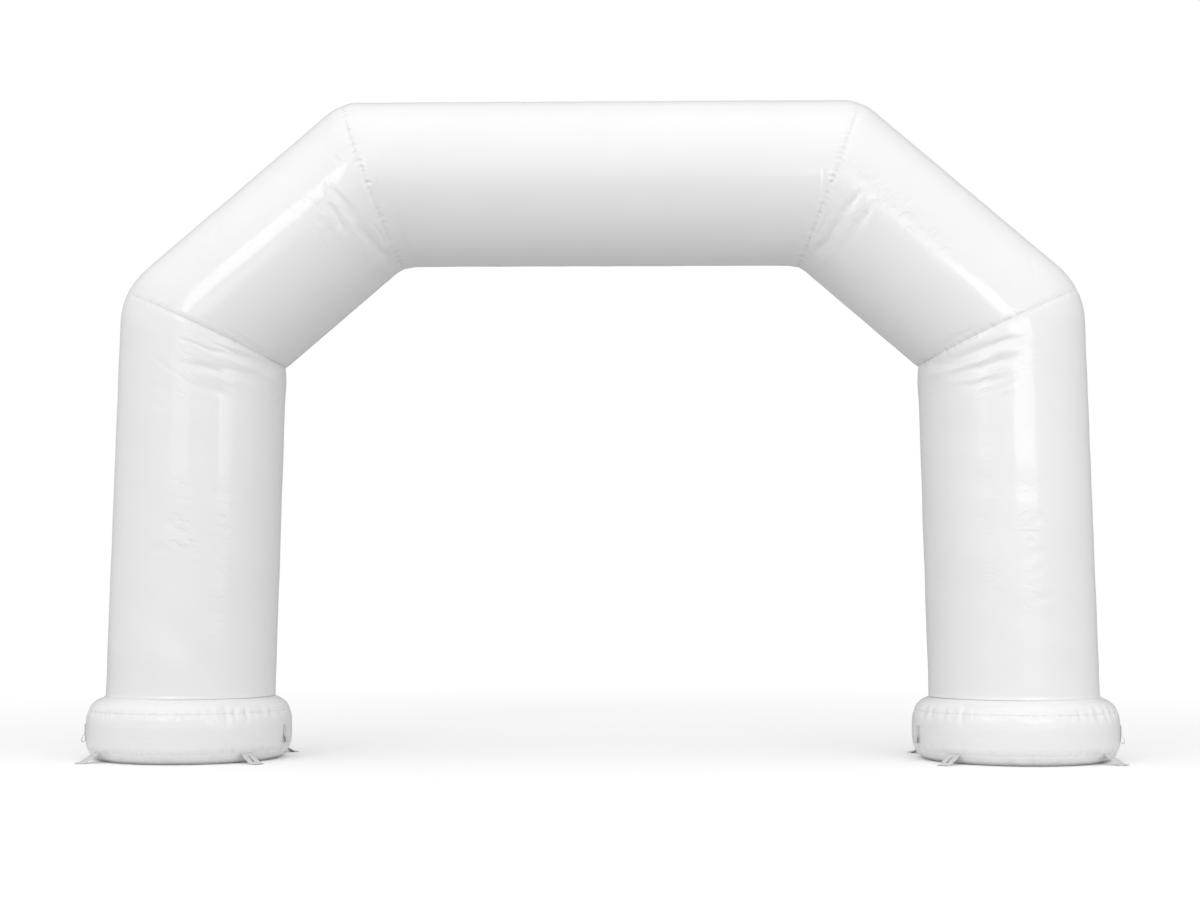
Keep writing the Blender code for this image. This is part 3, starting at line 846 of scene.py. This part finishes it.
def make_ground_tab(side, place_name, azimuth, centre):
    """A slotted ground tab that slopes from the seam to the floor, its tip curled up a little."""
    half = TAB_THICKNESS / 2
    root = np.array([TAB_ROOT + half, TAB_ROOT_Z])
    bend = np.array([TAB_BEND_RADIUS, half])
    slope = unit(bend - root)
    reach = float(np.linalg.norm(bend - root))
    draw = np.random.default_rng(TAB_SEED + int(azimuth) + (1 if side == "left" else 0))
    curl = draw.uniform(*TAB_CURL)
    path = [root + slope * far - UP_OF_PATH * TAB_SAG * math.sin(math.pi * far / reach)
            for far in np.linspace(0.0, reach - TAB_BEND_REACH, TAB_SLOPE_STEPS)]
    before = path[-1]
    after = bend + np.array([TAB_BEND_REACH, 0.0])
    for share in np.linspace(0.0, 1.0, TAB_BEND_STEPS)[1:]:
        first = before * (1 - share) + bend * share
        second = bend * (1 - share) + after * share
        path.append(first * (1 - share) + second * share)
    for share in np.linspace(0.0, 1.0, TAB_BEND_STEPS)[1:]:
        far = after[0] * (1 - share) + TAB_TIP_RADIUS * share
        path.append(np.array([far, half + curl * share ** 2]))
    hole = (TAB_SLOT_FROM, TAB_SLOT_FROM + TAB_SLOT_LENGTH, TAB_SLOT_WIDTH)
    name = "stake_tab_%s_%s" % (side, place_name)
    twist = draw.uniform(*TAB_TWIST)
    piece = strip(name, centre, azimuth, path, TAB_WIDTH, TAB_THICKNESS, hole, TAB_ROUNDING, twist)
    settle_on_floor(piece)
    flat_length = reach + TAB_TIP_RADIUS - TAB_BEND_RADIUS
    return piece, "ground_tab_%s_%s" % (side, place_name), flat_length


def settle_on_floor(piece):
    """Moves a piece up or down so that its lowest point is on the floor."""
    lowest = min(vertex.co.z for vertex in piece.data.vertices)
    for vertex in piece.data.vertices:
        vertex.co.z -= lowest


def make_side_loop(side, place_name, azimuth, centre):
    """A webbing loop: a flat sewn tail above and an eye that stands off the wall below."""
    path = [(LOOP_WALL + stand_off, height) for stand_off, height in LOOP_ROUTE]
    name = "webbing_loop_%s_%s" % (side, place_name)
    route = smooth_path(path, LOOP_PARTS)
    piece = strip(name, centre, azimuth, route, LOOP_WIDTH, LOOP_THICKNESS, None, 0.0)
    length = sum(math.dist(path[index], path[index + 1]) for index in range(len(path) - 1))
    return piece, "side_loop_%s_%s" % (side, place_name), length


def smooth_path(path, parts):
    """The same route with extra points on a smooth curve between the given ones."""
    path = np.array(path)
    slopes = np.gradient(path, axis=0)
    found = [path[0]]
    for index in range(len(path) - 1):
        for part in range(1, parts + 1):
            t = part / parts
            found.append(between(path[index], path[index + 1], slopes[index], slopes[index + 1], t))
    return found


def stitched_line(name, points, normals):
    """A row of thread stitches along a closed line of points on the cloth."""
    curve = bpy.data.curves.new(name, "CURVE")
    curve.dimensions = "3D"
    curve.bevel_depth = STITCH_RADIUS
    curve.bevel_resolution = 0
    curve.use_fill_caps = True
    closed = np.concatenate([points, points[:1]])
    run = np.concatenate([[0.0], np.cumsum(np.linalg.norm(np.diff(closed, axis=0), axis=1))])
    lifted = np.concatenate([normals, normals[:1]])
    count = int(run[-1] / STITCH_PITCH)
    for index in range(count):
        middle = (index + 0.5) / count * run[-1]
        spline = curve.splines.new("POLY")
        spline.points.add(2)
        for knot, (step, rise) in enumerate(STITCH_KNOTS):
            place = min(run[-1], max(0.0, middle + step * STITCH_LENGTH))
            spot = np.array([np.interp(place, run, closed[:, axis]) for axis in range(3)])
            lift = np.array([np.interp(place, run, lifted[:, axis]) for axis in range(3)])
            spline.points[knot].co = (*(spot + lift * rise * STITCH_RADIUS), 1.0)
    holder = bpy.data.objects.new(name + "_curve", curve)
    bpy.context.scene.collection.objects.link(holder)
    bpy.context.view_layer.update()
    depsgraph = bpy.context.evaluated_depsgraph_get()
    mesh = bpy.data.meshes.new_from_object(holder.evaluated_get(depsgraph))
    bpy.data.objects.remove(holder, do_unlink=True)
    piece = bpy.data.objects.new(name, mesh)
    bpy.context.scene.collection.objects.link(piece)
    return piece


def tube_stitches(tube, seam):
    """Stitches on one tube panel, beside its seam."""
    turn = np.linspace(0.0, 1.0, STITCH_PLACES, endpoint=False)
    shares = np.linspace(0.0, 0.5, STITCH_PLACES)
    length = float((tube["end"] - tube["start"]) @ tube["axis"])
    beside = float(np.interp(STITCH_OFFSET, length * ring_place(shares), shares))
    share = np.full_like(turn, beside if seam == "start" else 1.0 - beside)
    points = tube_points(tube, turn, share)
    radians = np.radians(360.0 * turn)
    lift = np.outer(np.cos(radians), tube["outer"]) + np.outer(np.sin(radians), FRONT)
    return stitched_line("stitching_%s_%s" % (tube["name"], seam), points, lift)


def node_value(tree, kind, **settings):
    """A new node with its plain settings."""
    node = tree.nodes.new(kind)
    for name, value in settings.items():
        setattr(node, name, value)
    return node


def noise(tree, source, scale, detail, roughness=0.5):
    """A noise texture on the given coordinates."""
    node = node_value(tree, "ShaderNodeTexNoise")
    node.inputs["Scale"].default_value = scale
    node.inputs["Detail"].default_value = detail
    node.inputs["Roughness"].default_value = roughness
    tree.links.new(source, node.inputs["Vector"])
    return node.outputs["Fac"]


def times(tree, first, last):
    """The product of two outputs."""
    node = node_value(tree, "ShaderNodeMath", operation="MULTIPLY")
    tree.links.new(first, node.inputs[0])
    tree.links.new(last, node.inputs[1])
    return node.outputs[0]


def weave(tree, source, pitch):
    """Height of a plain weave in the cloth's own coordinates, in metres."""
    heights = []
    for direction in ("X", "Y"):
        wave = node_value(tree, "ShaderNodeTexWave", bands_direction=direction, wave_profile="SIN")
        wave.inputs["Scale"].default_value = math.pi / 10.0 / pitch
        tree.links.new(source, wave.inputs["Vector"])
        heights.append(wave.outputs["Fac"])
    return times(tree, *heights)


def bump(tree, height, distance, strength, under=None):
    """A bump of this depth, on top of the one given."""
    node = node_value(tree, "ShaderNodeBump")
    node.inputs["Distance"].default_value = distance
    node.inputs["Strength"].default_value = strength
    tree.links.new(height, node.inputs["Height"])
    if under is not None:
        tree.links.new(under, node.inputs["Normal"])
    return node.outputs["Normal"]


def ramp(tree, source, low, high, first, last):
    """The source, spread from one range to another."""
    node = node_value(tree, "ShaderNodeMapRange")
    for name, value in (("From Min", low), ("From Max", high), ("To Min", first), ("To Max", last)):
        node.inputs[name].default_value = value
    tree.links.new(source, node.inputs["Value"])
    return node.outputs["Result"]


def mixed_colour(tree, factor, first, last):
    """A colour between two, by a factor. The first may be another colour output."""
    node = node_value(tree, "ShaderNodeMix", data_type="RGBA")
    tree.links.new(factor, node.inputs["Factor"])
    if isinstance(first, tuple):
        node.inputs["A"].default_value = (*first, 1.0)
    else:
        tree.links.new(first, node.inputs["A"])
    node.inputs["B"].default_value = (*last, 1.0)
    return node.outputs["Result"]


def new_material(name):
    """An empty material with its shader, object coordinates and cloth coordinates."""
    material = bpy.data.materials.new(name)
    material.use_nodes = True
    tree = material.node_tree
    shader = tree.nodes["Principled BSDF"]
    spot = node_value(tree, "ShaderNodeTexCoord").outputs["Object"]
    cloth = node_value(tree, "ShaderNodeUVMap", uv_map="cloth").outputs["UV"]
    return material, tree, shader, spot, cloth


def coated_cloth(name, shades, roughness):
    """White coated cloth: fine weave under a glossy coat, faint clouding, dust near the floor."""
    material, tree, shader, spot, cloth = new_material(name)
    cloud = ramp(tree, noise(tree, spot, 1.7, 4.0), 0.35, 0.7, 0.0, 1.0)
    colour = mixed_colour(tree, cloud, *shades)
    height = node_value(tree, "ShaderNodeSeparateXYZ")
    tree.links.new(spot, height.inputs[0])
    near_floor = ramp(tree, height.outputs["Z"], DUST_HEIGHT, 0.0, 0.0, 1.0)
    scuffs = ramp(tree, noise(tree, spot, 14.0, 8.0, 0.65), 0.48, 0.70, 0.0, 0.35)
    colour = mixed_colour(tree, times(tree, near_floor, scuffs), colour, DUST)
    tree.links.new(colour, shader.inputs["Base Color"])
    patches = noise(tree, spot, 3.0, 3.0)
    shine = ramp(tree, patches, 0.3, 0.7, roughness - 0.02, roughness + 0.03)
    tree.links.new(shine, shader.inputs["Roughness"])
    shader.inputs["Specular IOR Level"].default_value = 0.3
    shader.inputs["Coat Weight"].default_value = 0.9
    shader.inputs["Coat Roughness"].default_value = 0.075
    shader.inputs["Coat IOR"].default_value = 1.5
    fine = bump(tree, weave(tree, cloth, CLOTH_WEAVE_PITCH), CLOTH_WEAVE_DEPTH, 0.3)
    handled = bump(tree, noise(tree, spot, 30.0, 4.0), HANDLING_DEPTH, 0.12, fine)
    crumpled = bump(tree, crumples(tree, cloth), CRUMPLE_DEPTH, 1.0, handled)
    tree.links.new(crumpled, shader.inputs["Normal"])
    return material


def crumples(tree, cloth):
    """Height of the short curved creases in the crumpled patches, which run round the tube."""
    stretched = node_value(tree, "ShaderNodeMapping")
    tree.links.new(cloth, stretched.inputs["Vector"])
    stretched.inputs["Scale"].default_value = CRUMPLE_SCALE
    lines = noise(tree, stretched.outputs["Vector"], 1.0, 2.0, 0.45)
    creases = ramp(tree, lines, 0.46, 0.60, 1.0, 0.0)
    creases.node.interpolation_type = "SMOOTHSTEP"
    patch = node_value(tree, "ShaderNodeAttribute", attribute_name="crumpled").outputs["Fac"]
    return times(tree, creases, patch)


def webbing_material(name):
    """Woven webbing with a coated face."""
    material, tree, shader, spot, cloth = new_material(name)
    yarns = weave(tree, cloth, WEBBING_WEAVE_PITCH)
    light, dark = WEBBING_SHADES
    colour = mixed_colour(tree, yarns, dark, light)
    worn = ramp(tree, noise(tree, spot, 60.0, 6.0, 0.6), 0.45, 0.75, 0.0, 0.30)
    colour = mixed_colour(tree, worn, colour, WEBBING_WEAR)
    tree.links.new(colour, shader.inputs["Base Color"])
    shader.inputs["Roughness"].default_value = 0.42
    shader.inputs["Sheen Weight"].default_value = 0.15
    shader.inputs["Sheen Roughness"].default_value = 0.4
    tree.links.new(bump(tree, yarns, WEBBING_WEAVE_DEPTH, 0.8), shader.inputs["Normal"])
    return material


def thread_material(name):
    """Twisted white sewing thread."""
    material, tree, shader, spot, _ = new_material(name)
    twist = node_value(tree, "ShaderNodeTexWave", bands_direction="DIAGONAL")
    twist.inputs["Scale"].default_value = THREAD_TWIST_SCALE
    tree.links.new(spot, twist.inputs["Vector"])
    colour = mixed_colour(tree, twist.outputs["Fac"], *THREAD_SHADES)
    tree.links.new(colour, shader.inputs["Base Color"])
    shader.inputs["Roughness"].default_value = 0.55
    return material


def dress(piece, material, node):
    """Gives a piece its material and its body, and hides the model's part that it stands for."""
    piece.data.materials.clear()
    piece.data.materials.append(material)
    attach(piece, "root")
    if node:
        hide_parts(node)


def make_camera():
    """The camera at the photograph's place."""
    data = bpy.data.cameras.new("camera")
    data.sensor_width = SENSOR_WIDTH
    data.lens = FOCAL_PIXELS / PHOTO_WIDTH * SENSOR_WIDTH
    camera = bpy.data.objects.new("camera", data)
    camera.location = CAMERA_PLACE
    camera.rotation_euler = (math.pi / 2 + CAMERA_PITCH, 0.0, CAMERA_TURN)
    bpy.context.scene.collection.objects.link(camera)
    bpy.context.scene.camera = camera


def area_light(name, place, target, size, radiance, roll, spread):
    """A rectangular softbox aimed at a point, as bright as its radiance over its face."""
    width, height = size
    data = bpy.data.lights.new(name, "AREA")
    data.shape = "RECTANGLE"
    data.size = width
    data.size_y = height
    half = math.radians(spread / 2)
    data.energy = radiance * math.pi * width * height * (1.0 - half / math.tan(half))
    data.spread = 2 * half
    light = bpy.data.objects.new(name, data)
    light.location = place
    aim = (Vector(target) - Vector(place)).to_track_quat("-Z", "Y")
    light.rotation_euler = (aim @ Quaternion((0.0, 0.0, 1.0), math.radians(roll))).to_euler()
    light.visible_camera = False
    bpy.context.scene.collection.objects.link(light)


def make_light():
    """White studio light: softboxes on both sides, a top box and a pale surround."""
    for softbox in SOFTBOXES:
        area_light(*softbox)
    world = bpy.data.worlds.new("studio")
    bpy.context.scene.world = world
    world.use_nodes = True
    tree = world.node_tree
    shade = tree.nodes["Background"]
    rays = node_value(tree, "ShaderNodeLightPath").outputs["Is Camera Ray"]
    spot = node_value(tree, "ShaderNodeTexCoord").outputs["Generated"]
    slope = node_value(tree, "ShaderNodeVectorMath", operation="DOT_PRODUCT")
    tree.links.new(spot, slope.inputs[0])
    slope.inputs[1].default_value = SURROUND_SLOPE
    value = slope.outputs["Value"]
    glow = ramp(tree, value, -1.0, 1.0, SURROUND_LEVEL - 1.0, SURROUND_LEVEL + 1.0)
    seen = node_value(tree, "ShaderNodeMix", data_type="FLOAT")
    tree.links.new(rays, seen.inputs["Factor"])
    tree.links.new(glow, seen.inputs["A"])
    seen.inputs["B"].default_value = 1.0
    shade.inputs["Color"].default_value = (1.0, 1.0, 1.0, 1.0)
    tree.links.new(seen.outputs["Result"], shade.inputs["Strength"])


def make_floor():
    """A plain white floor, dimmer in what it reflects onto the arch than in the picture."""
    bm = bmesh.new()
    bmesh.ops.create_grid(bm, x_segments=1, y_segments=1, size=FLOOR_SIZE)
    floor = finished("studio_floor", bm, 30.0)
    material = bpy.data.materials.new("studio_floor")
    material.use_nodes = True
    tree = material.node_tree
    shader = tree.nodes["Principled BSDF"]
    rays = node_value(tree, "ShaderNodeLightPath").outputs["Is Camera Ray"]
    spot = node_value(tree, "ShaderNodeTexCoord").outputs["Object"]
    folded = node_value(tree, "ShaderNodeVectorMath", operation="ABSOLUTE")
    tree.links.new(spot, folded.inputs[0])
    from_foot = node_value(tree, "ShaderNodeVectorMath", operation="DISTANCE")
    tree.links.new(folded.outputs["Vector"], from_foot.inputs[0])
    from_foot.inputs[1].default_value = (FOOT_X, 0.0, 0.0)
    near = ramp(tree, from_foot.outputs["Value"], FEET_FAR, FEET_NEAR, 0.0, 1.0)
    bounce = mixed_colour(tree, near, (FLOOR_BOUNCE,) * 3, (FLOOR_BOUNCE_AT_FEET,) * 3)
    colour = mixed_colour(tree, rays, bounce, (FLOOR_WHITE,) * 3)
    tree.links.new(colour, shader.inputs["Base Color"])
    shader.inputs["Roughness"].default_value = 0.8
    shader.inputs["Specular IOR Level"].default_value = 0.0
    shader.inputs["Emission Color"].default_value = (1.0, 1.0, 1.0, 1.0)
    away = node_value(tree, "ShaderNodeVectorMath", operation="LENGTH")
    tree.links.new(spot, away.inputs[0])
    distance = away.outputs["Value"]
    glow = ramp(tree, distance, FLOOR_GLOW_FROM, FLOOR_GLOW_TO, FLOOR_GLOW_NEAR, FLOOR_GLOW_FAR)
    tree.links.new(times(tree, glow, rays), shader.inputs["Emission Strength"])
    floor.data.materials.append(material)


make_camera()
make_light()
make_floor()
bpy.context.scene.view_settings.view_transform = "Standard"

cloth = coated_cloth("coated_cloth_white", CLOTH_SHADES, CLOTH_ROUGHNESS)
foot_cloth = coated_cloth("foot_cloth_white", FOOT_CLOTH_SHADES, FOOT_CLOTH_ROUGHNESS)
webbing = webbing_material("pale_webbing")
thread = thread_material("sewing_thread")

for tube in tube_panels():
    rings = TUBE_RINGS[tube["name"]]
    length = float((tube["end"] - tube["start"]) @ tube["axis"])
    skin = rolled_skin(
        "inflated_" + tube["name"], TUBE_SIDES, rings,
        lambda turn, share, tube=tube: tube_points(tube, turn, share),
        (math.tau * TUBE_RADIUS, length),
        lambda turn, share, tube=tube: crumpling(
            tube["name"], 360.0 * turn, tube_run(tube, turn, share)))
    dress(skin, cloth, tube["name"])
    for seam in tube["seams"]:
        dress(tube_stitches(tube, seam), thread, None)

for side, way in (("left", -1.0), ("right", 1.0)):
    centre = np.array([way * FOOT_X, 0.0, 0.0])
    foot = make_foot(side, centre)
    dress(foot, foot_cloth, "foot_" + side)
    for place_name, azimuth in TAB_AZIMUTHS.items():
        tab, node, tab_length = make_ground_tab(side, place_name, way * azimuth, centre)
        dress(tab, webbing, node)
    for place_name, azimuth in LOOP_AZIMUTHS.items():
        loop, node, loop_length = make_side_loop(side, place_name, way * azimuth, centre)
        dress(loop, webbing, node)
